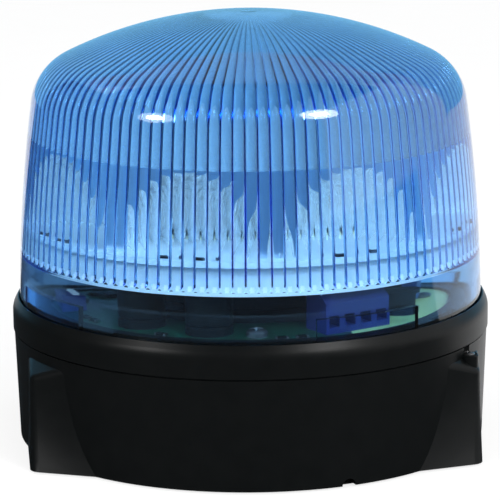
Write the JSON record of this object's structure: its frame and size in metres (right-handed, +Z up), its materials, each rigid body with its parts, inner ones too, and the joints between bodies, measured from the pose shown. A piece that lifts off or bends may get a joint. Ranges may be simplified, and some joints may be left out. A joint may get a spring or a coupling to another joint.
{
  "type": "strobe beacon",
  "caption": "Blue surface-mounted strobe beacon with a fluted twist-lock dome, an inner ring of faceted reflector niches and a round black base with corner lugs.",
  "frame": {"origin": "centre of the mounting plane, under the axis of the lens", "axes": "+Z up along the axis of the lens, -Y towards the front of the picture, +X to its right"},
  "size_m": [0.1308, 0.1308, 0.1157],
  "materials": {
    "black_moulding": "moulded, semi-gloss",
    "blue_lens": "clear, polished",
    "black_rubber": "matte",
    "bright_steel": "zinc plated",
    "green_board": "solder mask",
    "white_board": "white solder mask",
    "blue_moulding": "moulded",
    "white_moulding": "moulded",
    "black_component": "matte",
    "varistor_coat": "dipped coat",
    "fuse_glass": "clear",
    "white_sink": "white powder coat",
    "emitter_cap": "clear over phosphor",
    "metallised_reflector": "vacuum-metallised mirror"
  },
  "bodies": {
    "base": {"base_housing": "black_moulding", "bayonet_ring": "black_moulding", "lens_seal": "black_rubber", "cable_grommet": "black_rubber", "lock_screw": "bright_steel", "ring_screws": "bright_steel", "board_screws": "bright_steel", "pedestal_screws": "bright_steel", "light_unit_screws": "bright_steel", "terminal_screws": "bright_steel", "fuse_clips": "bright_steel", "driver_board": "green_board", "terminal_block": "blue_moulding", "dip_switch": "blue_moulding", "storage_capacitors": "black_component", "power_inductor": "black_component", "bridge_rectifier": "black_component", "switch_transistors": "black_component", "controller_chip": "black_component", "surge_varistor": "varistor_coat", "fuse_tube": "fuse_glass", "link_header": "white_moulding", "light_pedestal": "black_component", "heat_sink": "white_sink", "led_board": "white_board", "led_packages": "white_moulding", "led_domes": "emitter_cap", "reflector": "metallised_reflector", "reflector_cap": "metallised_reflector"},
    "lens_cover": {"lens": "blue_lens"},
    "slider_1": {"dip_slider_1": "white_moulding"},
    "slider_2": {"dip_slider_2": "white_moulding"},
    "slider_3": {"dip_slider_3": "white_moulding"},
    "slider_4": {"dip_slider_4": "white_moulding"}
  },
  "joints": [
    {"name": "lens_twist", "type": "hinge", "parent": "base", "child": "lens_cover", "pos_m": [0, 0, 0.0385], "axis": [0, 0, 1], "range_deg": [0, 30]},
    {"name": "slider_1_slide", "type": "slide", "parent": "base", "child": "slider_1", "axis": [-0.9744, -0.225, 0], "range_m": [0, 0.0017]},
    {"name": "slider_2_slide", "type": "slide", "parent": "base", "child": "slider_2", "axis": [-0.9744, -0.225, 0], "range_m": [0, 0.0017]},
    {"name": "slider_3_slide", "type": "slide", "parent": "base", "child": "slider_3", "axis": [-0.9744, -0.225, 0], "range_m": [0, 0.0017]},
    {"name": "slider_4_slide", "type": "slide", "parent": "base", "child": "slider_4", "axis": [-0.9744, -0.225, 0], "range_m": [0, 0.0017]}
  ]
}
